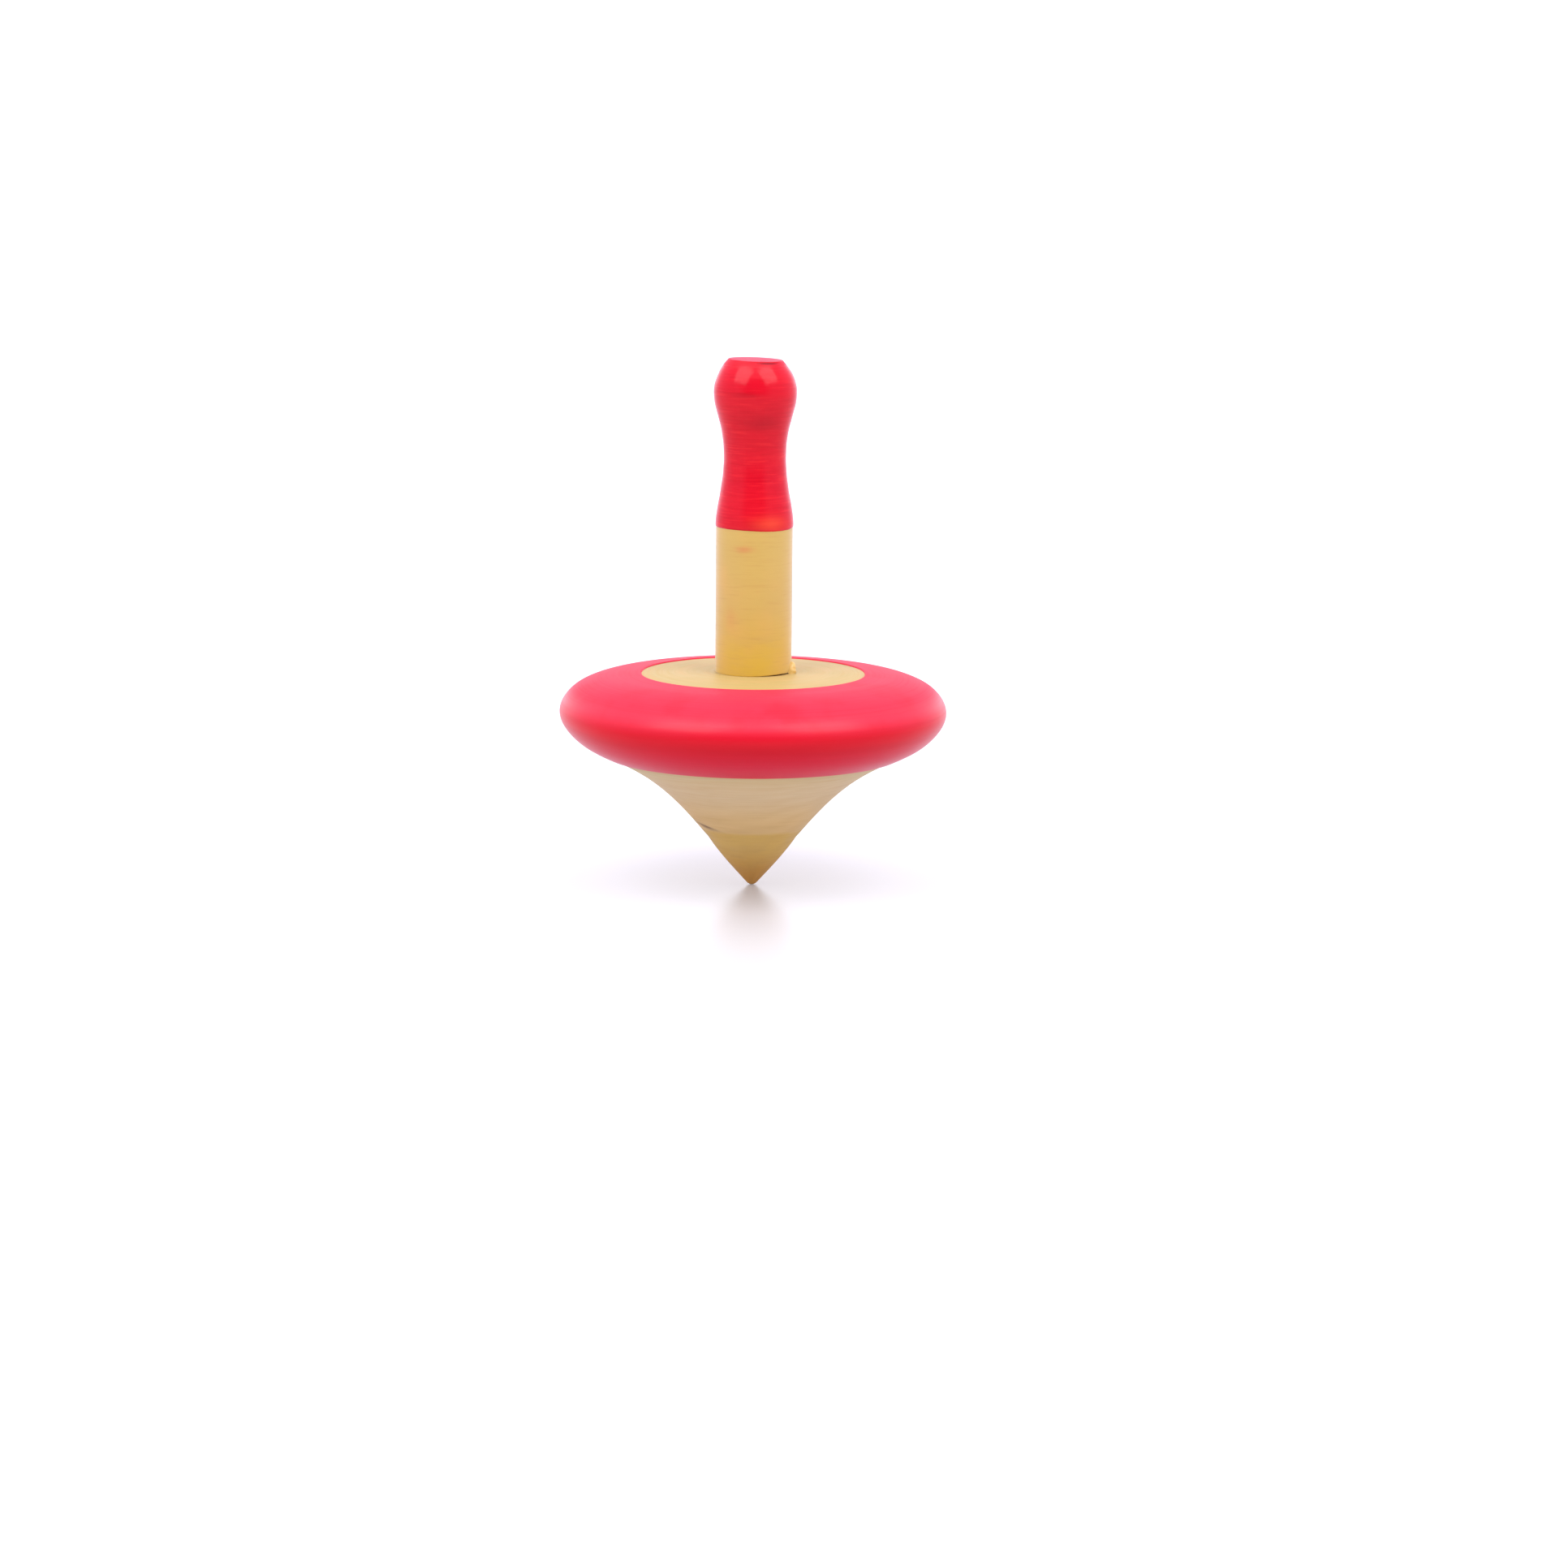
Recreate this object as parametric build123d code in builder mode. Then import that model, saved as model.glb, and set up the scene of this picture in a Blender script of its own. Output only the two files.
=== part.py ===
"""Finger spinning top: a turned wooden flywheel with a turned stem glued into it.

Units are millimetres. +Z is the spin axis and points up, and the origin is the point
that the top spins on. Every piece is turned, so each one is a section revolved about Z.
The wood is one smooth surface, and each coat of lac stands on it by its own thickness.
"""

import os
from math import cos, radians, sin, tan

from build123d import *

os.makedirs("parts", exist_ok=True)

# ---- Driving dimensions ----
disc_radius = 25.0  # over the red coat, at the widest point of the rim
overall_height = 68.3  # from the spinning point to the lacquered end of the stem
seat_height = 27.95  # the flat on the crown that the stem's shoulder sits on
red_coat = 0.18  # thickness of the red lac on the rim and the grip
yellow_coat = 0.09  # thickness of the yellow lac on the shaft

# ---- Flywheel: point, cone, flare, rim and crown, as (radius, height) of the wood ----
point_radius = 0.9
point_half_angle = 42.0
point_top = (5.78, 6.5)  # the point swells slightly up to this faint corner
point_top_slope = (0.55, 0.835)
cone_slope = (0.67, 0.742)
cone = (8.0, 9.05)
flare = (12.65, 13.5)
band_foot = (19.0, 17.25)  # the red coat starts here, on the underside
band_foot_slope = (0.905, 0.425)
rim_under = (22.6, 19.3)
rim_widest = (disc_radius - red_coat, 22.8)
rim_shoulder = (22.9, 25.75)
rim_top = (18.5, 27.25)
crown_edge = (14.4, 27.67)  # the red coat stops here, round the bare crown
crown_slope = (-0.995, 0.1)
seat_edge = (7.0, seat_height)

# ---- Stem, as (radius, height) of the wood ----
shaft_radius = 4.86
shoulder_rounding = 0.25
grip_start = 46.85  # the line between the yellow and the red coat
grip_taper = (4.48, 50.0)
waist = (3.84, 55.2)
grip_swell = (4.35, 60.0)
bulb = (5.08, 64.9)
end_edge = (3.4, overall_height - red_coat)
end_slope = (-0.70, 0.71)

# ---- Glued joint ----
tenon_radius = 3.0
tenon_length = 10.0
tenon_chamfer = 0.5
glue_gap = 0.1  # all round the tenon
glue_pad = 0.4  # under the tenon
drill_half_angle = 59.0

# ---- Bead of glue squeezed out beside the shoulder ----
bead_width = 0.7
bead_height = 1.45
bead_arc = 20.0
bead_azimuth = -23.0  # where the bead starts, counted from +X


def raised(curve, thickness, steps=24):
    """A curve that follows the outside of a turned one, standing off it by a coat."""
    points = []
    for step in range(steps + 1):
        along = curve % (step / steps)
        outwards = Vector(along.Y, -along.X)
        points.append(curve @ (step / steps) + outwards * thickness)
    return Spline(*points, tangents=(curve % 0, curve % 1))


def save(piece, name):
    """Label a finished piece and write it."""
    piece.part.label = name
    export_step(piece.part, f"parts/{name}.step")


# ---- The turned surfaces that carry a coat ----
with BuildLine():
    rim_surface = Spline(
        band_foot,
        rim_under,
        rim_widest,
        rim_shoulder,
        rim_top,
        crown_edge,
        tangents=(band_foot_slope, crown_slope),
    )

with BuildLine():
    grip_surface = Spline(
        (shaft_radius, grip_start),
        grip_taper,
        waist,
        grip_swell,
        bulb,
        end_edge,
        tangents=((0, 1), end_slope),
    )

# ---- Section of the flywheel, solid to the axis ----
half_angle = radians(point_half_angle)
point_edge = (point_radius * cos(half_angle), point_radius * (1 - sin(half_angle)))
with BuildSketch(Plane.XZ) as flywheel_section:
    with BuildLine():
        TangentArc((0, 0), point_edge, tangent=(1, 0))
        Spline(
            point_edge,
            point_top,
            tangents=((sin(half_angle), cos(half_angle)), point_top_slope),
        )
        Spline(
            point_top,
            cone,
            flare,
            band_foot,
            tangents=(cone_slope, band_foot_slope),
        )
        add(rim_surface)
        Spline(crown_edge, seat_edge, tangents=(crown_slope, (-1, 0)))
        Polyline(seat_edge, (0, seat_height), (0, 0))
    make_face()

# ---- Section of the stem, from the end of its tenon to the end of its grip ----
tenon_end = seat_height - tenon_length
shoulder_edge = (shaft_radius - shoulder_rounding, seat_height)
with BuildSketch(Plane.XZ) as stem_section:
    with BuildLine():
        Polyline(
            end_edge,
            (0, end_edge[1]),
            (0, tenon_end),
            (tenon_radius - tenon_chamfer, tenon_end),
            (tenon_radius, tenon_end + tenon_chamfer),
            (tenon_radius, seat_height),
            shoulder_edge,
        )
        TangentArc(
            shoulder_edge,
            (shaft_radius, seat_height + shoulder_rounding),
            tangent=(1, 0),
        )
        Line((shaft_radius, seat_height + shoulder_rounding), (shaft_radius, grip_start))
        add(grip_surface)
    make_face()

# ---- Section of the drilled socket ----
socket_radius = tenon_radius + glue_gap
socket_floor = tenon_end - glue_pad
with BuildSketch(Plane.XZ) as socket_section:
    with BuildLine():
        Polyline(
            (0, seat_height),
            (0, socket_floor - socket_radius / tan(radians(drill_half_angle))),
            (socket_radius, socket_floor),
            (socket_radius, seat_height),
            close=True,
        )
    make_face()

# ---- Flywheel body ----
with BuildPart() as flywheel_body:
    add(flywheel_section.sketch)
    revolve(axis=Axis.Z)
    add(socket_section.sketch)
    revolve(axis=Axis.Z, mode=Mode.SUBTRACT)
save(flywheel_body, "flywheel_body")

# ---- Stem ----
with BuildPart() as stem:
    add(stem_section.sketch)
    revolve(axis=Axis.Z)
save(stem, "stem")

# ---- Cured glue that fills the socket round and under the tenon ----
with BuildPart() as stem_glue:
    with BuildSketch(Plane.XZ):
        add(socket_section.sketch_local)
        add(stem_section.sketch_local, mode=Mode.SUBTRACT)
    revolve(axis=Axis.Z)
save(stem_glue, "stem_glue")

# ---- Bead of glue beside the shoulder, against the yellow coat ----
bead_inner = shaft_radius + yellow_coat
bead_plane = Plane(
    origin=(0, 0, 0),
    x_dir=(cos(radians(bead_azimuth)), sin(radians(bead_azimuth)), 0),
    z_dir=(sin(radians(bead_azimuth)), -cos(radians(bead_azimuth)), 0),
)
with BuildPart() as glue_bead:
    with BuildSketch(bead_plane):
        with BuildLine():
            Line((bead_inner, seat_height), (bead_inner + bead_width, seat_height))
            TangentArc(
                (bead_inner + bead_width, seat_height),
                (bead_inner, seat_height + bead_height),
                tangent=(0, 1),
            )
            Line((bead_inner, seat_height + bead_height), (bead_inner, seat_height))
        make_face()
    revolve(axis=Axis.Z, revolution_arc=bead_arc)
save(glue_bead, "glue_bead")

# ---- Coat of red lac round the rim ----
with BuildPart() as rim_lacquer:
    with BuildSketch(Plane.XZ):
        with BuildLine():
            add(rim_surface)
            rim_gloss = raised(rim_surface, red_coat)
            Line(rim_surface @ 0, rim_gloss @ 0)
            Line(rim_surface @ 1, rim_gloss @ 1)
        make_face()
    revolve(axis=Axis.Z)
save(rim_lacquer, "rim_lacquer")

# ---- Coat of yellow lac on the straight part of the stem ----
with BuildPart() as shaft_lacquer:
    with BuildSketch(Plane.XZ):
        with BuildLine():
            Polyline(
                (shaft_radius, seat_height + shoulder_rounding),
                (shaft_radius + yellow_coat, seat_height + shoulder_rounding),
                (shaft_radius + yellow_coat, grip_start),
                (shaft_radius, grip_start),
                close=True,
            )
        make_face()
    revolve(axis=Axis.Z)
save(shaft_lacquer, "shaft_lacquer")

# ---- Coat of red lac on the grip, carried over the edge and across its end ----
with BuildPart() as grip_lacquer:
    with BuildSketch(Plane.XZ):
        with BuildLine():
            add(grip_surface)
            grip_gloss = raised(grip_surface, red_coat)
            Line(grip_surface @ 0, grip_gloss @ 0)
            TangentArc(grip_gloss @ 1, (end_edge[0], overall_height), tangent=grip_gloss % 1)
            Polyline((end_edge[0], overall_height), (0, overall_height), (0, end_edge[1]), end_edge)
        make_face()
    revolve(axis=Axis.Z)
save(grip_lacquer, "grip_lacquer")
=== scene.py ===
from math import atan2, cos, pi, radians, sin, tan

import bpy
import numpy as np
from mathutils import Matrix, Vector


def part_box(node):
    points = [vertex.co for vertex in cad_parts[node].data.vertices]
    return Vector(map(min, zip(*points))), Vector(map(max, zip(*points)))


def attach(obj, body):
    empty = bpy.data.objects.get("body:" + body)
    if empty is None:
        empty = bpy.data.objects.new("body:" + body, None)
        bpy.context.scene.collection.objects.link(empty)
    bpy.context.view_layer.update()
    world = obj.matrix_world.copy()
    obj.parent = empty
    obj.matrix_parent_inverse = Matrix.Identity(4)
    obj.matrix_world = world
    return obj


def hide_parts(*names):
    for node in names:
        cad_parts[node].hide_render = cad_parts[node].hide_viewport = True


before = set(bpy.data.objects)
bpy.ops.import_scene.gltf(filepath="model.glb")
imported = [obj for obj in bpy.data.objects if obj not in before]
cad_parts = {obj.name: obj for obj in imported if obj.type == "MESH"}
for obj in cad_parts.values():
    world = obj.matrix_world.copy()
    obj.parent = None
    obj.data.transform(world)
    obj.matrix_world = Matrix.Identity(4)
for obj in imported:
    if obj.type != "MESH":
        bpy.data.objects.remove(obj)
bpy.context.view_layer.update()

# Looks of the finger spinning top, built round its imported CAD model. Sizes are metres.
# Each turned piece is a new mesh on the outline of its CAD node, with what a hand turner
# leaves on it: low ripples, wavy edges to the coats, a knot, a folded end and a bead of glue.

MM = 0.001
TURN = 2 * pi

# ---- Heights on the CAD model, and the sizes of its hidden joint ----
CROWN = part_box("flywheel_body")[1].z
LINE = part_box("grip_lacquer")[0].z  # between the yellow coat of the shaft and the red one of the grip
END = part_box("grip_lacquer")[1].z
DRILL_HALF_ANGLE = radians(59)
GLUE_GAP = 0.1 * MM
TENON_CHAMFER = 0.5 * MM

# ---- Marks of the hand work. Azimuths and half angles are in degrees, counted from +X ----
KNOT_AZIMUTH = 215
KNOT_HEIGHT = 8.35 * MM
KNOT_SLANT = -1.25 * MM  # its climb for each radian round the axis
KNOT_DEPTH = 0.16 * MM
CONE_CLIMB = 0.75  # the cone's climb near the knot, for each metre along its outline
STAIN_HEIGHT = 7.75 * MM
FOOT_GAP = 0.17 * MM  # under the stem's shoulder, where it is widest
FOOT_GAP_AZIMUTH = -42
FOOT_SINK = 0.015 * MM
END_TILT = 0.03
END_DROP = 0.11 * MM
END_DOME = 0.05 * MM
FOLD_AZIMUTH = -64
FOLD_HALF_ANGLE = 26
FOLD_RADIUS = 3.62 * MM
CRACK_DEPTH = 0.22 * MM
RIDGE_HEIGHT = 0.07 * MM
LINE_LEVEL = -0.13 * MM  # height of the line between the two coats over the CAD's
LINE_DIP = 0.2 * MM  # how much lower still it dips at its lowest
LINE_DIP_AZIMUTH = -55
LINE_DIP_HALF_ANGLE = 0.9  # radians
BURIED = 0.012 * MM  # how far a coat's edges sink into the wood; its inner side sinks twice as far
RED_SMEARS = (  # on the yellow coat: azimuth, height, half angle, half height, strength
    (-105, LINE - 2.55 * MM, 13, 0.4 * MM, 0.38),
    (-126, LINE - 11.35 * MM, 10, 1.6 * MM, 0.14),
)
DARK_SMUDGES = (  # on the red coat of the grip, in the same order
    (-76, END - 7.9 * MM, 34, 0.9 * MM, 0.34),
    (-105, END - 4.3 * MM, 24, 0.35 * MM, 0.34),
)
THIN_RED = (-64, LINE + 0.75 * MM, 26, 0.9 * MM)  # where the yellow shows through the red

# ---- Fades between the looks of neighbouring zones, as heights from start to end ----
# The first two fades also carry painted light: the crown's darker tone against the lighter flare and cone.
CROWN_TO_FLARE = (21 * MM, 14 * MM)
FLARE_TO_CONE = (14 * MM, 9 * MM)
STAIN_AND_SHADE_TO_POINT = (6 * MM, 0.6 * MM)
STAIN_EDGE = (STAIN_HEIGHT + 0.9 * MM, STAIN_HEIGHT + 0.3 * MM)
BODY_TO_CROWN = (21 * MM, 24 * MM)
RIM_TO_GRIP = (30 * MM, 44 * MM)
# Over these heights the upper rim fades into its painted highlight.
TO_UPPER_RIM_HIGHLIGHT = (CROWN - 5.35 * MM, CROWN - 3.15 * MM)
TO_TOP_OF_RIM = (CROWN - 3.55 * MM, CROWN - 1.75 * MM)
# Over these heights the underside fades into its painted reflection.
TO_UNDERSIDE_REFLECTION = (CROWN - 5.95 * MM, CROWN - 9.45 * MM)
TO_END_FACE = (END - 1.1 * MM, END - 0.5 * MM)
TO_LOW_SHAFT = (38 * MM, 29 * MM)

# ---- Studio: brightness of the tent's parts, the floor and the lamps ----
TENT_SIDES = (1.15, 1.04, 1.32, 1)
TENT_BACK = (1.78, 1.74, 1.88, 1)
TENT_UPPER_BACK = (0.75, 0.71, 0.85, 1)
TENT_ROOF = (1.70, 1.62, 1.86, 1)
OPENING = (0.30, 0.29, 0.34, 1)
WHITE = (1, 1, 1, 1)
FLOOR_HALF_WIDTH = 40.0
FLOOR_COLOUR = (0.45, 0.465, 0.47, 1)
FLOOR_GLOW_COLOUR = (1.0, 1.04, 1.03, 1)
FLOOR_ROUGHNESS = 0.27
FLOOR_GLOW = 0.14
FLOOR_GLOW_AWAY = 0.17  # added to the glow away from the point
FLOOR_GLOW_RISE = (12 * MM, 75 * MM)  # distances from the point
LAMP_SIZE = 0.42
LAMP_POWER = 2.15
LAMP_AIM = (0, 0, 0.05)
LAMP_PLACES = {"softbox_left": (-0.30, -0.27, 0.50), "softbox_right": (0.32, -0.25, 0.50)}
CAMERA_LENS = 109.4  # in millimetres, as Blender wants
CAMERA_SENSOR = 36.0  # its width, in millimetres
CAMERA_PITCH = radians(9.85)
CAMERA_ROLL = radians(0.5)
CAMERA_DISTANCE = 619.6 * MM
CAMERA_LEFT = 4.2 * MM  # how far left of the middle of the view the top's point is seen
CAMERA_BELOW = 13.0 * MM  # and how far below it


# ---- The frame: outlines of the turned nodes ----

def node_points(node):
    """Every vertex of a CAD node as (radius, height)."""
    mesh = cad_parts[node].data
    flat = np.empty(len(mesh.vertices) * 3)
    mesh.vertices.foreach_get("co", flat)
    corners = flat.reshape(-1, 3)
    return np.column_stack([np.hypot(corners[:, 0], corners[:, 1]), corners[:, 2]])


def node_outline(node, centre, first, last, gap=0.15 * MM):
    """The outline of a turned node, in order round a centre, from one of its points to another."""
    points = node_points(node)
    spokes = points - centre
    angles = np.arctan2(spokes[:, 1], spokes[:, 0])
    start = atan2(first[1] - centre[1], first[0] - centre[0])
    stop = atan2(last[1] - centre[1], last[0] - centre[0])
    inside = (angles > start) & (angles < stop)
    ordered = points[inside][np.argsort(angles[inside])]
    kept = [np.array(first)]
    for point in ordered:
        far_enough = np.linalg.norm(point - kept[-1]) > gap
        if far_enough and np.linalg.norm(point - np.array(last)) > gap:
            kept.append(point)
    kept.append(np.array(last))
    return np.array(kept)


def cubic(x, y, at):
    """A natural cubic spline through the points (x, y), read at other values of x."""
    steps = np.diff(x)
    matrix = np.eye(len(x))
    right = np.zeros(y.shape)
    for i in range(1, len(x) - 1):
        matrix[i, i - 1:i + 2] = steps[i - 1], 2 * (steps[i - 1] + steps[i]), steps[i]
        right[i] = 6 * ((y[i + 1] - y[i]) / steps[i] - (y[i] - y[i - 1]) / steps[i - 1])
    bend = np.linalg.solve(matrix, right)
    k = np.clip(np.searchsorted(x, at) - 1, 0, len(steps) - 1)
    h = steps[k][:, None]
    after = (at - x[k])[:, None]
    before = h - after
    return (
        (bend[k] * before ** 3 + bend[k + 1] * after ** 3) / (6 * h)
        + (y[k] / h - bend[k] * h / 6) * before
        + (y[k + 1] / h - bend[k + 1] * h / 6) * after
    )


class Surface:
    """A turned surface: its outline by length along it, with its outward normals."""

    STEP = 0.02 * MM

    def __init__(self, outline):
        along = np.concatenate([[0], np.cumsum(np.linalg.norm(np.diff(outline, axis=0), axis=1))])
        self.length = along[-1]
        self.places = np.arange(0, self.length + self.STEP / 2, self.STEP)
        self.points = cubic(along, outline, self.places)
        slope = np.gradient(self.points, axis=0)
        slope /= np.linalg.norm(slope, axis=1)[:, None]
        self.normals = np.column_stack([slope[:, 1], -slope[:, 0]])

    def at(self, places, lift=0.0):
        """(radius, height) at those lengths, lifted off the surface by lift."""
        both = []
        for axis in (0, 1):
            point = np.interp(places, self.places, self.points[:, axis])
            normal = np.interp(places, self.places, self.normals[:, axis])
            both.append(point + normal * lift)
        return both

    def place_of(self, column, value, after=0.0):
        """The length at which the radius (0) or height (1) first passes a value."""
        from_here = self.places >= after
        passed = np.diff(np.sign(self.points[from_here, column] - value)) != 0
        return self.places[from_here][:-1][passed][0]

    def widest(self):
        """The length at which the radius is largest."""
        return self.places[np.argmax(self.points[:, 0])]


# ---- Hand work: smooth seeded waves, and the turned meshes ----

def wander(seed, angles, size, waves=(1, 2, 3, 5, 8, 13)):
    """A smooth closed wander round the axis, about size high."""
    rng = np.random.default_rng(seed)
    total = np.zeros(np.shape(angles))
    for wave in waves:
        total = total + rng.normal() / wave ** 0.5 * np.cos(wave * angles + rng.uniform(0, TURN))
    return size * total / 2


def waviness(seed, angles, places, size, around=3, pitch=4 * MM, count=7):
    """Low waves over a surface, about size high: few waves round it and several along it."""
    rng = np.random.default_rng(seed)
    total = np.zeros(np.broadcast(angles, places).shape)
    for _ in range(count):
        turns = rng.integers(0, around + 1)
        phase = rng.uniform(0, TURN)
        total = total + np.cos(turns * angles + places / pitch * rng.uniform(0.4, 1.6) * TURN + phase)
    return size * total / count ** 0.5


def dent(angles, places, angle, place, half_angle, half_length):
    """A smooth dent of depth 1 at one spot of a turned surface."""
    aside = (angles - angle + pi) % TURN - pi
    return np.exp(-((aside / half_angle) ** 2) - ((places - place) / half_length) ** 2)


def skin(name, rings, ends, crease=radians(50)):
    """A mesh over rings of points. ends is loop, caps, or the pair of its end points."""
    count, around, _ = rings.shape
    verts = rings.reshape(-1, 3).tolist()
    faces = []
    for i in range(count if ends == "loop" else count - 1):
        low, high = i * around, (i + 1) % count * around
        for j in range(around):
            k = (j + 1) % around
            faces.append((low + j, low + k, high + k, high + j))
    last = (count - 1) * around
    if ends == "caps":
        faces.append(tuple(reversed(range(around))))
        faces.append(tuple(range(last, last + around)))
    elif ends != "loop":
        verts.extend(ends)
        for j in range(around):
            k = (j + 1) % around
            faces.append((k, j, len(verts) - 2))
            faces.append((last + j, last + k, len(verts) - 1))
    mesh = bpy.data.meshes.new(name)
    mesh.from_pydata(verts, [], faces)
    mesh.shade_smooth()
    mesh.set_sharp_from_angle(angle=crease)
    piece = bpy.data.objects.new(name, mesh)
    bpy.context.scene.collection.objects.link(piece)
    return piece


def turned_rings(radius, height, angles):
    """Rings of points from their radii and heights."""
    radius, height = np.broadcast_arrays(radius, height)
    return np.stack([radius * np.cos(angles), radius * np.sin(angles), height], axis=-1)


def smooth_step(value, low, high):
    """A smooth step from 0 at low to 1 at high."""
    t = np.clip((value - low) / (high - low), 0, 1)
    return t * t * (3 - 2 * t)


def ring_angles(count):
    """The angles of a ring's corners."""
    return np.arange(count) * TURN / count


def graded(stops, spacings):
    """Places from the first stop to the last, with a spacing of its own between each two stops."""
    runs = [np.arange(low, high, step) for low, high, step in zip(stops, stops[1:], spacings)]
    return np.concatenate([*runs, stops[-1:]])[:, None]


def lip(share, depth, length, rounding):
    """Thickness of a coat along its width: full inside, and rounded off at both edges."""
    near_edge = np.minimum(share, 1 - share) * length / rounding
    rounded = np.sqrt(1 - (1 - np.clip(near_edge, 0, 1)) ** 2)
    return depth * rounded


def coat_mesh(name, surface, start, stop, depth, spacing, angles, seed):
    """A closed shell of lac on a turned surface, between two wavy edges."""
    edge_rings, edge_share = 30, 0.02
    length = np.mean(stop - start)
    count = int(length / spacing)
    edge = (1 - np.cos(np.linspace(0, pi, 2 * edge_rings)))[:edge_rings] * edge_share
    middle = np.linspace(edge_share, 1 - edge_share, count)
    share = np.concatenate([edge, middle, 1 - edge[::-1]])[:, None]
    places = start + (stop - start) * share
    thick = lip(share, depth, length, rounding=1.6 * depth)
    thick = thick * (1 + waviness(seed, angles, places, 0.04, pitch=5 * MM))
    hidden = start + (stop - start) * np.linspace(1, 0, count // 4)[:, None]
    outer = surface.at(places, thick - BURIED)
    inner = surface.at(hidden, -2 * BURIED)
    radius = np.concatenate([outer[0], inner[0]])
    height = np.concatenate([outer[1], inner[1]])
    return skin(name, turned_rings(radius, height, angles), "loop")


# ---- Shader nodes ----

class Nodes:
    """A node tree under construction, with short calls for the nodes it needs."""

    def __init__(self, tree):
        self.tree = tree

    def node(self, kind, inputs, **settings):
        """One node. An input is a number, a colour, or another node's output."""
        made = self.tree.nodes.new(kind)
        for name, value in settings.items():
            setattr(made, name, value)
        for name, value in inputs.items():
            if isinstance(value, bpy.types.NodeSocket):
                self.tree.links.new(value, made.inputs[name])
            else:
                made.inputs[name].default_value = value
        return made

    def math(self, operation, a, b=0.0, c=0.0):
        """One math node's result."""
        return self.node("ShaderNodeMath", {0: a, 1: b, 2: c}, operation=operation).outputs[0]

    def square(self, a):
        """a times itself."""
        return self.math("MULTIPLY", a, a)

    def length(self, a, b):
        """The length of the flat vector (a, b)."""
        return self.math("SQRT", self.math("ADD", self.square(a), self.square(b)))

    def ramp(self, value, low, high):
        """A smooth step from 0 at low to 1 at high."""
        made = self.node(
            "ShaderNodeMapRange",
            {"Value": value, "From Min": low, "From Max": high},
            interpolation_type="SMOOTHSTEP",
        )
        return made.outputs["Result"]

    def mix(self, factor, a, b):
        """Colour a going to colour b."""
        return self.node("ShaderNodeMix", {0: factor, 6: a, 7: b}, data_type="RGBA").outputs[2]

    def blend(self, factor, a, b):
        """Plain number a going to plain number b."""
        return self.node("ShaderNodeMix", {0: factor, 2: a, 3: b}, data_type="FLOAT").outputs[0]

    def tint(self, base, mask, strength, over):
        """A colour laid over the base one by that strength, where the mask is 1."""
        return self.mix(self.math("MULTIPLY", mask, strength), base, over)


class Look(Nodes):
    """A material under construction, on the object's own coordinates."""

    def __init__(self, name):
        self.material = bpy.data.materials.new(name)
        self.material.use_nodes = True
        super().__init__(self.material.node_tree)
        self.tree.nodes.clear()
        self.shader = self.tree.nodes.new("ShaderNodeBsdfPrincipled")
        output = self.tree.nodes.new("ShaderNodeOutputMaterial")
        self.tree.links.new(self.shader.outputs["BSDF"], output.inputs["Surface"])
        self.position = self.tree.nodes.new("ShaderNodeTexCoord").outputs["Object"]
        split = self.node("ShaderNodeSeparateXYZ", {0: self.position})
        self.x, self.y, self.z = split.outputs
        self.radius = self.length(self.x, self.y)
        off_axis = self.math("MAXIMUM", self.radius, 0.05 * MM)
        self.cosine = self.math("DIVIDE", self.x, off_axis)
        self.sine = self.math("DIVIDE", self.y, off_axis)

    def turning_lines(self, pitch, around=1.5, detail=2.0, shift=0.0):
        """Noise drawn out round the axis, as a chisel or a lac stick leaves it. pitch is in metres."""
        vector = self.node(
            "ShaderNodeCombineXYZ",
            {
                0: self.math("MULTIPLY_ADD", self.cosine, around, shift),
                1: self.math("MULTIPLY", self.sine, around),
                2: self.math("MULTIPLY", self.radius, 1 / pitch),
            },
        ).outputs[0]
        return self.node(
            "ShaderNodeTexNoise",
            {
                "Vector": vector,
                "W": self.math("MULTIPLY", self.z, 1 / pitch),
                "Scale": 1.0,
                "Detail": detail,
            },
            noise_dimensions="4D",
        ).outputs[0]

    def blotches(self, size, detail=3.0, shift=(0, 0, 0)):
        """Soft patches of a size in metres."""
        moved = self.node("ShaderNodeVectorMath", {0: self.position, 1: shift}, operation="ADD").outputs[0]
        return self.node(
            "ShaderNodeTexNoise",
            {"Vector": moved, "Scale": 1 / size, "Detail": detail},
        ).outputs[0]

    def spot(self, azimuth, height, half_angle, half_height, slant=0.0):
        """1 at one spot of a turned surface, fading to 0 away from it. Angles are in degrees.
        The slant is the spot's climb, in metres for each radian round the axis."""
        toward_x, toward_y = cos(radians(azimuth)), sin(radians(azimuth))
        facing = self.math("MULTIPLY_ADD", self.sine, toward_y, self.math("MULTIPLY", self.cosine, toward_x))
        past = self.math("MULTIPLY_ADD", self.sine, toward_x, self.math("MULTIPLY", self.cosine, -toward_y))
        aside = self.math("MULTIPLY", self.math("SUBTRACT", 1.0, facing), 2 / radians(half_angle) ** 2)
        level = self.math("MULTIPLY_ADD", past, slant, height)
        above = self.math("MULTIPLY", self.math("SUBTRACT", self.z, level), 1 / half_height)
        away = self.math("ADD", aside, self.square(above))
        return self.math("EXPONENT", self.math("MULTIPLY", away, -1.0))

    def bump(self, height, distance, strength=1.0, under=None):
        """A bump of that real height, on top of another."""
        inputs = {"Height": height, "Distance": distance, "Strength": strength}
        if under is not None:
            inputs["Normal"] = under
        return self.node("ShaderNodeBump", inputs).outputs[0]

    def finish(self, values):
        """Link what varies over the surface to the shader, and set what doesn't on it directly."""
        for name, value in values.items():
            if isinstance(value, bpy.types.NodeSocket):
                self.tree.links.new(value, self.shader.inputs[name])
            else:
                self.shader.inputs[name].default_value = value
        return self.material


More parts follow.
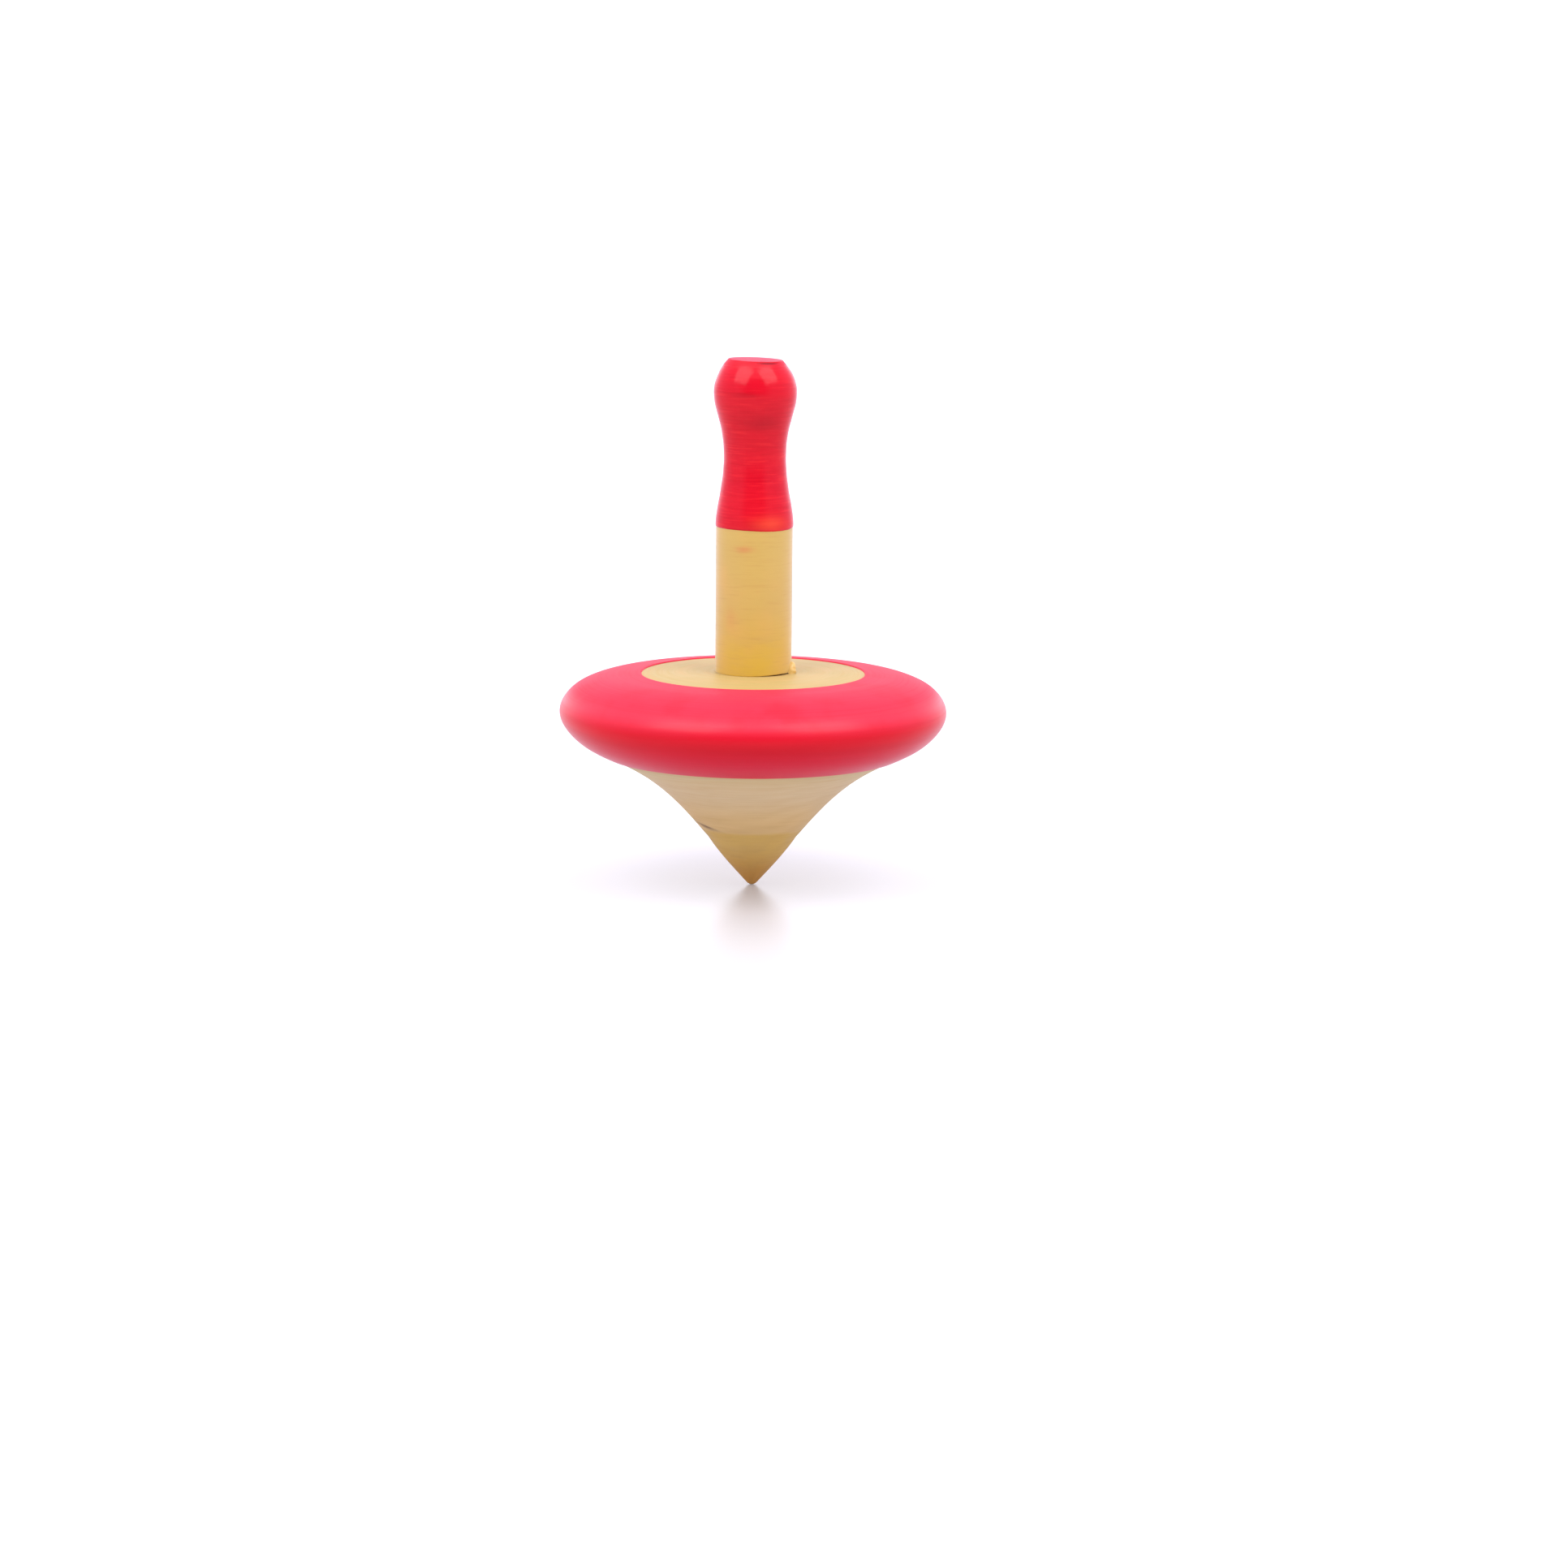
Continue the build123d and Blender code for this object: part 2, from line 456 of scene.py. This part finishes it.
def colour(red, green, blue):
    """A colour given as it looks on a screen, from 0 to 255, as the linear one Blender wants."""
    linear = []
    for channel in (red, green, blue):
        part = channel / 255
        linear.append(part / 12.92 if part <= 0.04045 else ((part + 0.055) / 1.055) ** 2.4)
    return (*linear, 1.0)


def natural_wood():
    """Pale close-grained hardwood, burnished at the lathe. Painted light evens out its crown and flare, and
    its darker golden point is partly the wood's own tone and partly painted shade.
    """
    look = Look("natural_wood")
    pith, ring_pitch = (2.6 * MM, 1.9 * MM), 1.9 * MM
    across = look.length(look.math("SUBTRACT", look.x, pith[0]), look.math("SUBTRACT", look.y, pith[1]))
    wobble = look.math("MULTIPLY", look.blotches(14 * MM), 5 * MM)
    rings = look.math("SINE", look.math("MULTIPLY", look.math("ADD", across, wobble), TURN / ring_pitch))
    lines = look.turning_lines(0.34 * MM)
    broad = look.turning_lines(2.0 * MM, around=1.1, shift=7.0)
    fine = look.turning_lines(0.12 * MM, around=4.0)
    patches = look.blotches(7 * MM, shift=(0.05, 0, 0))
    on_crown = look.ramp(look.z, *BODY_TO_CROWN)

    # Painted light: the crown has a darker tone and the flare and the cone lighter ones, which even out the
    # strong light on the top against the weaker light underneath.
    wood = look.mix(look.ramp(look.z, *CROWN_TO_FLARE), colour(176, 154, 92), colour(219, 193, 151))
    wood = look.mix(look.ramp(look.z, *FLARE_TO_CONE), wood, colour(225, 190, 131))
    # Partly the wood's own tone and partly painted shade: the cone grows darker and more golden down towards
    # the point.
    stain_and_shade = look.mix(look.ramp(look.z, *STAIN_AND_SHADE_TO_POINT), colour(218, 179, 97), colour(207, 149, 66))
    patchy_height = look.math("MULTIPLY_ADD", patches, 1.2 * MM, look.z)
    wood = look.mix(look.ramp(patchy_height, *STAIN_EDGE), wood, stain_and_shade)
    wood = look.tint(wood, look.ramp(rings, -0.8, 1.0), 0.10, colour(196, 154, 94))
    wood = look.tint(wood, look.ramp(lines, 0.48, 0.75), 0.18, colour(186, 144, 84))
    broad = look.ramp(broad, 0.40, 0.80)
    wood = look.tint(wood, broad, look.blend(on_crown, 0.20, 0.35), colour(196, 156, 98))
    patches = look.ramp(patches, 0.45, 0.75)
    wood = look.tint(wood, patches, look.blend(on_crown, 0.30, 0.15), colour(208, 178, 130))
    knot = look.spot(KNOT_AZIMUTH, KNOT_HEIGHT, 14, 0.27 * MM, slant=KNOT_SLANT)
    wood = look.tint(wood, knot, 0.75, colour(104, 74, 70))
    normal = look.bump(lines, 0.010 * MM)
    return look.finish(
        {
            "Base Color": wood,
            "Roughness": look.math("MULTIPLY_ADD", lines, 0.2, 0.40),
            "Normal": look.bump(fine, 0.005 * MM, under=normal),
            "IOR": 1.5,
            "Specular IOR Level": 0.3,
        }
    )


def red_lacquer():
    """Glossy red lac with the fine rings that the lac stick and the palm leaf leave, a painted highlight
    over the upper rim, a painted reflection underneath and painted shade in the crack at the end.
    """
    look = Look("red_lacquer")
    lines = look.turning_lines(0.24 * MM, around=1.2, detail=3.0)
    fine = look.turning_lines(0.11 * MM, around=3.0)
    broad = look.ramp(look.turning_lines(1.8 * MM, around=0.8, shift=4.0), 0.35, 0.7)
    patches = look.blotches(5 * MM, shift=(0.02, 0.07, 0))
    on_grip = look.ramp(look.z, *RIM_TO_GRIP)
    upper_rim_highlight = look.math("SUBTRACT", look.ramp(look.z, *TO_UPPER_RIM_HIGHLIGHT), on_grip)
    top_of_rim = look.math("SUBTRACT", look.ramp(look.z, *TO_TOP_OF_RIM), on_grip)

    rim_red = look.mix(broad, colour(200, 2, 28), colour(206, 8, 31))
    grip_red = look.mix(broad, colour(197, 7, 31), colour(204, 14, 33))
    red = look.mix(on_grip, rim_red, grip_red)
    # Painted highlight: the upper rim is a pinker red, for the broad pale reflection of the tent across it.
    red = look.mix(upper_rim_highlight, red, colour(212, 43, 64))
    red = look.tint(red, look.ramp(patches, 0.45, 0.75), 0.3, colour(204, 2, 24))
    # Painted reflection: the rim's underside is a bluer red, for the cool light that it reflects from below.
    red = look.mix(look.ramp(look.z, *TO_UNDERSIDE_REFLECTION), red, colour(208, 2, 47))
    red = look.tint(red, look.ramp(lines, 0.48, 0.68), look.blend(on_grip, 0.12, 0.44), colour(186, 2, 22))
    red = look.tint(red, look.ramp(lines, 0.46, 0.28), look.blend(on_grip, 0.12, 0.54), colour(220, 36, 40))
    for azimuth, height, half_angle, half_height, strength in DARK_SMUDGES:
        smudge = look.spot(azimuth, height, half_angle, half_height)
        red = look.tint(red, smudge, strength, colour(150, 4, 22))
    red = look.tint(red, look.spot(*THIN_RED), 0.62, colour(228, 74, 44))
    # Painted shade: the crack in the folded lip is darkened, for the shade that falls into it.
    crack = look.spot(FOLD_AZIMUTH, END - 0.4 * MM, 22, 0.11 * MM, slant=-END_TILT * FOLD_RADIUS)
    red = look.tint(red, crack, 0.8, colour(110, 8, 24))

    rough = look.blend(on_grip, 0.25, 0.11)
    rough = look.blend(top_of_rim, rough, 0.44)
    rough = look.blend(look.ramp(look.z, *TO_END_FACE), rough, 0.42)
    normal = look.bump(lines, 0.004 * MM)
    return look.finish(
        {
            "Base Color": red,
            "Roughness": look.math("MULTIPLY_ADD", lines, 0.10, rough),
            "Normal": look.bump(fine, 0.002 * MM, under=normal),
            "IOR": 1.5,
            "Specular IOR Level": look.blend(top_of_rim, 0.18, 0.09),
            "Sheen Weight": look.blend(on_grip, 0.12, 0.25),
            "Sheen Roughness": 0.35,
            "Sheen Tint": (0.9, 0.22, 0.6, 1),
        }
    )


def yellow_lacquer():
    """Thin yellow lac that lets the wood show through, with smears of red from the grip."""
    look = Look("yellow_lacquer")
    lines = look.turning_lines(0.26 * MM)
    fine = look.turning_lines(0.11 * MM, around=3.0)
    broad = look.turning_lines(1.6 * MM, around=0.9, shift=2.0)
    patches = look.blotches(5 * MM)
    yellow = look.mix(look.ramp(look.z, *TO_LOW_SHAFT), colour(195, 164, 80), colour(204, 167, 54))
    yellow = look.tint(yellow, look.ramp(patches, 0.42, 0.7), 0.40, colour(206, 162, 82))
    yellow = look.tint(yellow, look.ramp(broad, 0.42, 0.7), 0.35, colour(190, 158, 76))
    yellow = look.tint(yellow, look.ramp(lines, 0.5, 0.75), 0.30, colour(184, 142, 68))
    for azimuth, height, half_angle, half_height, strength in RED_SMEARS:
        smear = look.spot(azimuth, height, half_angle, half_height)
        yellow = look.tint(yellow, smear, strength, colour(200, 90, 56))
    normal = look.bump(lines, 0.005 * MM)
    return look.finish(
        {
            "Base Color": yellow,
            "Roughness": look.math("MULTIPLY_ADD", lines, 0.2, 0.3),
            "Normal": look.bump(fine, 0.002 * MM, under=normal),
            "IOR": 1.5,
            "Specular IOR Level": 0.5,
            "Sheen Weight": 0.5,
            "Sheen Roughness": 0.4,
            "Sheen Tint": (0.85, 0.95, 1.0, 1),
        }
    )


def stem_wood():
    """The bare wood of the stem, which shows only at the foot of its shoulder."""
    look = Look("stem_wood")
    lines = look.turning_lines(0.4 * MM)
    return look.finish(
        {
            "Base Color": look.mix(look.ramp(lines, 0.4, 0.7), colour(206, 162, 96), colour(180, 130, 66)),
            "Roughness": look.math("MULTIPLY_ADD", lines, 0.2, 0.4),
            "Normal": look.bump(lines, 0.01 * MM),
            "IOR": 1.5,
        }
    )


def cured_glue():
    """Dried yellowish glue, slightly cloudy."""
    look = Look("cured_glue")
    cloud = look.blotches(0.8 * MM)
    return look.finish(
        {
            "Base Color": look.mix(look.ramp(cloud, 0.35, 0.7), colour(216, 182, 104), colour(204, 164, 80)),
            "Roughness": look.math("MULTIPLY_ADD", cloud, 0.2, 0.25),
            "Normal": look.bump(cloud, 0.03 * MM),
            "IOR": 1.48,
        }
    )


# ---- The pieces ----

def flywheel_surface():
    """The flywheel's outline, from its point up to the mouth of its socket."""
    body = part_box("flywheel_body")
    socket_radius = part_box("stem_glue")[1].x
    centre = np.array([0.4 * body[1].x, 0.78 * body[1].z])
    return Surface(node_outline("flywheel_body", centre, (0, 0), (socket_radius, body[1].z)))


def shaft_line():
    """The straight side of the shaft: (radius, lowest, highest)."""
    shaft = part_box("shaft_lacquer")
    points = node_points("shaft_lacquer")
    return points[:, 0].min(), shaft[0].z, shaft[1].z


def grip_surface():
    """The grip's outline, from the end of the shaft to the edge of its end face."""
    radius, _, start = shaft_line()
    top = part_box("stem")[1].z
    points = node_points("stem")
    edge = points[points[:, 1] > top - 0.001 * MM][:, 0].max()
    centre = np.array([0.0, (start + top) / 2])
    return Surface(node_outline("stem", centre, (radius, start), (edge, top)))


def make_flywheel_body(surface):
    """The turned body, with its knot in the cone and its socket. Its rings are closest at the knot."""
    angles = ring_angles(320)
    first_ring, near_knot, under_coat = 0.1 * MM, 1.5 * MM, 6 * MM
    fine, normal, coarse = 0.06 * MM, 0.2 * MM, 0.8 * MM
    knot_half_angle, knot_half_length = 0.24, 0.16 * MM
    knot_place = surface.place_of(1, KNOT_HEIGHT)
    stops = (
        first_ring,
        knot_place - near_knot,
        knot_place + near_knot,
        surface.widest() - under_coat,
        surface.widest() + under_coat,
        surface.length,
    )
    places = graded(stops, (normal, fine, normal, coarse, normal))
    lift = waviness(11, angles, places, 0.004 * MM, around=2, pitch=2.5 * MM)
    azimuth = radians(KNOT_AZIMUTH)
    knot_line = knot_place + KNOT_SLANT * np.sin(angles - azimuth) / CONE_CLIMB
    lift = lift - KNOT_DEPTH * dent(angles, places, azimuth, knot_line, knot_half_angle, knot_half_length)
    lift = lift * np.clip(places / (2 * MM), 0, 1)
    radius, height = surface.at(places, lift)
    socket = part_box("stem_glue")
    floor = socket[0].z + socket[1].x / tan(DRILL_HALF_ANGLE)
    wall = np.full((2, len(angles)), socket[1].x)
    wall_height = np.array([[surface.points[-1, 1]], [floor]]) * np.ones(len(angles))
    radius = np.concatenate([radius, wall])
    height = np.concatenate([height, wall_height])
    rings = turned_rings(radius, height, angles)
    return skin("flywheel_body_turned", rings, ((0, 0, 0), (0, 0, socket[0].z)))


def foot_lift(angles):
    """How far the foot of the stem stands off the crown: most at the front right."""
    toward = np.clip(np.cos(angles - radians(FOOT_GAP_AZIMUTH)), 0, 1)
    return FOOT_GAP * toward ** 5 - FOOT_SINK + wander(51, angles, 0.004 * MM)


def colour_line(angles):
    """How far the line between the two coats is above the CAD's: least at the front right."""
    dip = LINE_DIP * dent(angles, 0, radians(LINE_DIP_AZIMUTH), 0, LINE_DIP_HALF_ANGLE, 1)
    return LINE_LEVEL - dip + wander(41, angles, 0.02 * MM)


def cut_end(rings):
    """Tilt the end of the grip as it was parted off, and round it a little."""
    reach, flat, dome_radius = 2.4 * MM, 0.2 * MM, 3.3 * MM
    x, y, z = rings[..., 0], rings[..., 1], rings[..., 2]
    near_end = smooth_step(z, END - reach, END - flat)
    middle = 1 - np.clip(np.hypot(x, y) / dome_radius, 0, 1) ** 2
    drop = END_DROP + END_TILT * x - END_DOME * middle
    tilted = rings.copy()
    tilted[..., 2] = z - near_end * drop
    return tilted


def fold_end(rings):
    """Leave a folded lip of lac on the front right of the end, with a crack inside it."""
    crack_width, ridge_width, ridge_offset = 0.09 * MM, 0.13 * MM, 0.22 * MM
    x, y, z = rings[..., 0], rings[..., 1], rings[..., 2]
    radius, azimuth = np.hypot(x, y), np.arctan2(y, x)
    aside = (azimuth - radians(FOLD_AZIMUTH)) / radians(FOLD_HALF_ANGLE)
    shown = np.exp(-aside ** 4) * smooth_step(z, END - 1.6 * MM, END - 1.0 * MM)
    crack = np.exp(-((radius - FOLD_RADIUS) / crack_width) ** 2)
    ridge = np.exp(-((radius - FOLD_RADIUS - ridge_offset) / ridge_width) ** 2)
    folded = rings.copy()
    folded[..., 2] = z + shown * (RIDGE_HEIGHT * ridge - CRACK_DEPTH * crack)
    return folded


def make_stem(grip):
    """The turned stem from its tenon to its end face, mostly under lac."""
    angles = ring_angles(160)
    ones = np.ones(len(angles))
    bend_rings, shaft_rings, grip_rings = 12, 20, 160
    radius, low, start = shaft_line()
    stem_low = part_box("stem")[0].z
    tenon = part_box("stem_glue")[1].x - GLUE_GAP
    rounding = low - CROWN
    recess = radius - rounding - 0.3 * MM
    under_lac = 0.12 * MM
    lower = np.array(
        [
            (tenon - TENON_CHAMFER, stem_low),
            (tenon, stem_low + TENON_CHAMFER),
            (tenon, CROWN),
            (recess, CROWN),
        ]
    )
    bend = np.linspace(-pi / 2, 0, bend_rings)[:, None]
    fade = np.linspace(1, 0, bend_rings)[:, None]
    foot_radius = (radius - rounding + rounding * np.cos(bend)) * ones
    foot_height = low + rounding * np.sin(bend) + foot_lift(angles) * fade
    shaft_height = np.linspace(low, start, shaft_rings + 2)[1:-1, None] * ones
    side = grip.at(np.linspace(0, grip.length - grip.STEP, grip_rings)[:, None])
    heights = (lower[:, 1:] * ones, foot_height, shaft_height, side[1] * ones - under_lac)
    radii = (lower[:, :1] * ones, foot_radius, np.full(shaft_height.shape, radius), side[0] * ones)
    rings = cut_end(turned_rings(np.concatenate(radii), np.concatenate(heights), angles))
    end_height = rings[-1, :, 2].mean()
    return skin("stem_turned", rings, ((0, 0, stem_low), (0, 0, end_height)))


def make_rim_lacquer(surface):
    """The red band round the rim, with slightly wavy edges."""
    angles = ring_angles(360)
    spacing, edge_wander = 0.17 * MM, 0.05 * MM
    coat = node_points("rim_lacquer")
    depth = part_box("rim_lacquer")[1].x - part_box("flywheel_body")[1].x
    below = coat[:, 1] < surface.at(surface.widest())[1]
    foot = surface.place_of(0, coat[below][:, 0].min())
    top = surface.place_of(0, coat[:, 0].min(), after=surface.widest())
    start = foot + wander(21, angles, edge_wander)
    stop = top + wander(22, angles, edge_wander)
    return coat_mesh("rim_lacquer_coat", surface, start, stop, depth, spacing, angles, seed=23)


def make_shaft_lacquer():
    """The yellow coat of the shaft, which reaches down past the rounded edge of its foot."""
    angles = ring_angles(256)
    spacing, under_red, spare = 0.15 * MM, 0.15 * MM, 0.3 * MM
    radius, low, start = shaft_line()
    rounding = low - CROWN
    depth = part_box("shaft_lacquer")[1].x - radius
    side = np.linspace(CROWN, start + spare, 140)
    surface = Surface(np.column_stack([np.full(len(side), radius), side]))
    stop = start - CROWN + colour_line(angles) + under_red
    coat = coat_mesh("shaft_lacquer_coat", surface, 0.0 * angles, stop, depth, spacing, angles, seed=31)
    for vertex in coat.data.vertices:
        x, y, z = vertex.co
        fade = 1 - smooth_step(z, CROWN, low + 2 * rounding)
        vertex.co.z = z + fade * foot_lift(atan2(y, x))
    return coat


def make_grip_lacquer(grip):
    """The red coat of the grip, carried over its edge and across its end."""
    angles = ring_angles(300)
    ones = np.ones(len(angles))
    spacing, fine, fine_from = 0.16 * MM, 0.05 * MM, 0.94
    hidden_rings, edge_rings, end_rings, under_rings = 40, 8, 58, 10
    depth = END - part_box("stem")[1].z
    edge_radius, end_height = grip.points[-1]
    share = graded((0.0, fine_from, 1.0), (spacing / grip.length, fine / grip.length))
    places = grip.length * share * ones
    hidden = grip.length * np.linspace(1, 0, hidden_rings)[:, None] * ones
    to_edge = np.clip(places / (1.5 * depth), 0, 1)
    thick = depth * np.sqrt(1 - (1 - to_edge) ** 2)
    thick = thick * (1 + waviness(42, angles, places, 0.05, pitch=3 * MM))
    outer = grip.at(places, thick - BURIED)
    inner = grip.at(hidden, -2 * BURIED)
    normal = grip.normals[-1]
    first = atan2(normal[1], normal[0])
    bend = first + (pi / 2 - first) * np.linspace(0, 1, edge_rings + 1)[1:, None]
    edge = (edge_radius + depth * np.cos(bend)) * ones, (end_height + depth * np.sin(bend)) * ones
    across = np.linspace(1, 0, end_rings + 2)[1:-1, None] * edge_radius * ones
    under = np.linspace(0, 1, under_rings + 2)[1:-1, None] * edge_radius * ones
    above = np.full(across.shape, end_height + depth)
    below = np.full(under.shape, end_height - 2 * BURIED)
    radius = np.concatenate([under, inner[0], outer[0], edge[0], across])
    height = np.concatenate([below, inner[1], outer[1], edge[1], above])
    near_line = 1 - smooth_step(height, LINE, LINE + 1.5 * MM)
    height = height + near_line * colour_line(angles)
    rings = fold_end(cut_end(turned_rings(radius, height, angles)))
    poles = [(0, 0, rings[ring, :, 2].mean()) for ring in (0, -1)]
    return skin("grip_lacquer_coat", rings, poles)


def make_glue_bead():
    """The bead of glue squeezed out against the foot of the stem, drawn up into a small ear."""
    fill, narrowing, leaning, lumps_round = 0.97, 0.3, 0.35, 9
    sunk_in, sunk_down = 0.03 * MM, 0.01 * MM
    low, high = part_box("glue_bead")
    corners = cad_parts["glue_bead"].data.vertices
    azimuths = [atan2(corner.co.y, corner.co.x) for corner in corners]
    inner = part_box("shaft_lacquer")[1].x
    reach = max(corner.co.xy.length for corner in corners) - inner
    tall = high.z - low.z
    middle, half = (max(azimuths) + min(azimuths)) / 2, (max(azimuths) - min(azimuths)) / 2
    rings = []
    for across in np.linspace(-fill, fill, 33):
        bulge = (1 - across ** 2) ** 0.5
        ring = []
        for t in np.linspace(0, pi / 2, 25):
            out = fill * reach * bulge * cos(t) ** 0.7
            up = tall * bulge ** 0.6 * sin(t) ** 0.8
            aside = across * (1 - narrowing * up / tall) + leaning * (up / tall) ** 2
            ring.append((inner + out, middle + half * aside, low.z + up))
        for t in np.linspace(1, 0, 8):
            up = tall * bulge ** 0.6 * t
            ring.append((inner - sunk_in, middle + half * across, low.z + up - sunk_down))
        rings.append(ring)
    rings = np.array(rings)
    lumps = waviness(61, rings[..., 1] * lumps_round, rings[..., 2], 0.03 * MM, pitch=0.8 * MM)
    radius = rings[..., 0] + lumps * np.clip((rings[..., 0] - inner) / reach, 0, 1)
    azimuth = rings[..., 1]
    points = np.stack([radius * np.cos(azimuth), radius * np.sin(azimuth), rings[..., 2]], axis=-1)
    return skin("glue_bead_ear", points, "caps")


wood_surface = flywheel_surface()
grip = grip_surface()
lac_red, lac_yellow, wood, bare_stem, glue = (
    red_lacquer(), yellow_lacquer(), natural_wood(), stem_wood(), cured_glue()
)
made = (
    (make_flywheel_body(wood_surface), "flywheel_body", wood, "natural_wood"),
    (make_stem(grip), "stem", bare_stem, "stem_wood"),
    (make_rim_lacquer(wood_surface), "rim_lacquer", lac_red, "red_lacquer"),
    (make_shaft_lacquer(), "shaft_lacquer", lac_yellow, "yellow_lacquer"),
    (make_grip_lacquer(grip), "grip_lacquer", lac_red, "red_lacquer"),
    (make_glue_bead(), "glue_bead", glue, "cured_glue"),
)
for piece, node, material, slot in made:
    piece.data.materials.append(material)
    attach(piece, "root")
    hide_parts(node)
socket_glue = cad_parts["stem_glue"]
socket_glue.data.materials.clear()
socket_glue.data.materials.append(glue)


# ---- Floor, light and camera ----

def make_floor():
    """A wide pale floor, faintly glowing, glossy enough to hold a soft reflection of the point."""
    half = FLOOR_HALF_WIDTH
    corners = [(-half, -half, 0), (half, -half, 0), (half, half, 0), (-half, half, 0)]
    mesh = bpy.data.meshes.new("floor")
    mesh.from_pydata(corners, [], [(0, 1, 2, 3)])
    floor = bpy.data.objects.new("floor", mesh)
    bpy.context.scene.collection.objects.link(floor)
    sheet = bpy.data.materials.new("pale_floor")
    sheet.use_nodes = True
    build = Nodes(sheet.node_tree)
    shader = sheet.node_tree.nodes["Principled BSDF"]
    shader.inputs["Base Color"].default_value = FLOOR_COLOUR
    shader.inputs["Roughness"].default_value = FLOOR_ROUGHNESS
    shader.inputs["Emission Color"].default_value = FLOOR_GLOW_COLOUR
    position = sheet.node_tree.nodes.new("ShaderNodeTexCoord").outputs["Object"]
    away = build.node("ShaderNodeVectorMath", {0: position}, operation="LENGTH").outputs["Value"]
    glow = build.math("MULTIPLY_ADD", build.ramp(away, *FLOOR_GLOW_RISE), FLOOR_GLOW_AWAY, FLOOR_GLOW)
    sheet.node_tree.links.new(glow, shader.inputs["Emission Strength"])
    mesh.materials.append(sheet)


def make_lamp(name, place):
    """A square soft light aimed at the object."""
    light = bpy.data.lights.new(name, "AREA")
    light.shape = "RECTANGLE"
    light.size = light.size_y = LAMP_SIZE
    light.energy = LAMP_POWER
    lamp = bpy.data.objects.new(name, light)
    lamp.location = place
    lamp.rotation_euler = (Vector(LAMP_AIM) - Vector(place)).to_track_quat("-Z", "Y").to_euler()
    bpy.context.scene.collection.objects.link(lamp)


def make_world():
    """A white tent: its back is brightest, and its front has a dim opening for the camera."""
    back, upper_back, roof = (0.5, 0.92), (0.2, 0.45), (0.72, 0.95)
    opening_side, opening_front, opening_top = (0.8, 0.35), (0.0, -0.3), (0.75, 0.5)
    world = bpy.data.worlds.new("studio")
    world.use_nodes = True
    bpy.context.scene.world = world
    sky = world.node_tree.nodes["Background"]
    build = Nodes(world.node_tree)
    direction = world.node_tree.nodes.new("ShaderNodeTexCoord").outputs["Generated"]
    x, y, z = build.node("ShaderNodeSeparateXYZ", {0: direction}).outputs
    behind = build.ramp(y, *back)
    tent = build.mix(behind, TENT_SIDES, TENT_BACK)
    tent = build.mix(build.math("MULTIPLY", behind, build.ramp(z, *upper_back)), tent, TENT_UPPER_BACK)
    tent = build.mix(build.ramp(z, *roof), tent, TENT_ROOF)
    narrow = build.ramp(build.math("ABSOLUTE", x), *opening_side)
    ahead = build.ramp(y, *opening_front)
    low = build.ramp(z, *opening_top)
    opening = build.math("MULTIPLY", narrow, build.math("MULTIPLY", ahead, low))
    tent = build.mix(opening, tent, OPENING)
    seen = world.node_tree.nodes.new("ShaderNodeLightPath").outputs["Is Camera Ray"]
    world.node_tree.links.new(build.mix(seen, tent, WHITE), sky.inputs["Color"])


def make_camera():
    """The camera: the top's point is seen a little left of and below the middle of the view."""
    data = bpy.data.cameras.new("camera")
    data.lens, data.sensor_width = CAMERA_LENS, CAMERA_SENSOR
    turn = Matrix.Rotation(pi / 2 - CAMERA_PITCH, 3, "X") @ Matrix.Rotation(CAMERA_ROLL, 3, "Z")
    camera = bpy.data.objects.new("camera", data)
    place = turn @ Vector((CAMERA_LEFT, CAMERA_BELOW, CAMERA_DISTANCE))
    camera.matrix_world = Matrix.Translation(place) @ turn.to_4x4()
    bpy.context.scene.collection.objects.link(camera)
    bpy.context.scene.camera = camera


make_floor()
for name, place in LAMP_PLACES.items():
    make_lamp(name, place)
make_world()
make_camera()
bpy.context.scene.view_settings.view_transform = "Standard"
